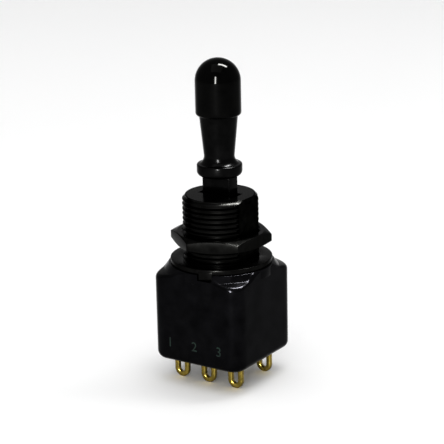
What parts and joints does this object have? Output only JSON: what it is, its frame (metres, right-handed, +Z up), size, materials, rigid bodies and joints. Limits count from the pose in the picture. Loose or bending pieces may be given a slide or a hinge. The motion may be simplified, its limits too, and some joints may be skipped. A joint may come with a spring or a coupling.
{
  "type": "panel toggle switch",
  "caption": "Sealed panel-mount toggle switch with a pull-to-unlock lever, threaded bushing with nut and locking ring, square body and loop solder lugs",
  "frame": {"origin": "on the bushing's axis in the panel seat, the top face of the locking ring", "axes": "+Z up the bushing towards the lever's cap, X along the throw and along each row of terminals, Y across the rows"},
  "size_m": [0.0166, 0.0166, 0.0514],
  "materials": {
    "housing_black": "moulded, satin gloss",
    "bushing_black": "black plated, satin",
    "rubber_black": "smooth moulded rubber",
    "base_black": "potted, matt",
    "contact_alloy": "plated copper alloy",
    "lever_steel": "turned",
    "retainer_plastic": "moulded",
    "carriage_plastic": "moulded",
    "spring_steel": "drawn wire",
    "handle_black": "black plated, glossy",
    "cap_black": "glossy",
    "nut_black": "black plated, satin",
    "terminal_gold": "gold plated"
  },
  "bodies": {
    "case": {"housing": "housing_black", "bushing": "bushing_black", "flange_gasket": "rubber_black", "terminal_base": "base_black", "terminal_front_left": "terminal_gold", "terminal_front_centre": "terminal_gold", "terminal_front_right": "terminal_gold", "terminal_rear_left": "terminal_gold", "terminal_rear_centre": "terminal_gold", "terminal_rear_right": "terminal_gold", "pivot_retainer": "retainer_plastic", "seal_ring": "rubber_black", "locking_ring": "nut_black"},
    "lever": {"lever_core": "lever_steel", "pivot_pin": "lever_steel", "carriage": "carriage_plastic", "handle_spring": "spring_steel", "plunger_spring_front": "spring_steel", "plunger_spring_rear": "spring_steel"},
    "grip": {"handle": "handle_black", "handle_cap": "cap_black"},
    "plunger_a": {"plunger_front": "contact_alloy"},
    "plunger_b": {"plunger_rear": "contact_alloy"},
    "rocker_a": {"rocker_front": "contact_alloy"},
    "rocker_b": {"rocker_rear": "contact_alloy"},
    "nut": {"panel_nut": "nut_black"}
  },
  "joints": [
    {"name": "lever_tilt", "type": "hinge", "parent": "case", "child": "lever", "pos_m": [0, 0, 0.0073], "axis": [0, 1, 0], "range_deg": [-12.5, 12.5]},
    {"name": "handle_lift", "type": "slide", "parent": "lever", "child": "grip", "axis": [0, 0, 1], "range_m": [0, 0.002], "stiffness_N_per_m": 300, "springref_m": -0.001, "deforming": ["handle_spring"]},
    {"name": "plunger_front_slide", "type": "slide", "parent": "lever", "child": "plunger_a", "axis": [0, 0, 1], "range_m": [0, 0.0007], "stiffness_N_per_m": 300, "springref_m": -0.001, "deforming": ["plunger_spring_front"]},
    {"name": "plunger_rear_slide", "type": "slide", "parent": "lever", "child": "plunger_b", "axis": [0, 0, 1], "range_m": [0, 0.0007], "stiffness_N_per_m": 300, "springref_m": -0.001, "deforming": ["plunger_spring_rear"]},
    {"name": "rocker_front_tilt", "type": "hinge", "parent": "case", "child": "rocker_a", "pos_m": [0, -0.00415, -0.01178], "axis": [0, 1, 0], "range_deg": [-5.5, 5.5]},
    {"name": "rocker_rear_tilt", "type": "hinge", "parent": "case", "child": "rocker_b", "pos_m": [0, 0.00415, -0.01178], "axis": [0, 1, 0], "range_deg": [-5.5, 5.5]},
    {"name": "nut_travel", "type": "slide", "parent": "case", "child": "nut", "axis": [0, 0, 1], "range_m": [-0.00159, 0.00476]}
  ],
  "couplings": [
    {"joint": "rocker_front_tilt", "follows": "lever_tilt", "ratio": -0.44},
    {"joint": "rocker_rear_tilt", "follows": "lever_tilt", "ratio": -0.44}
  ]
}
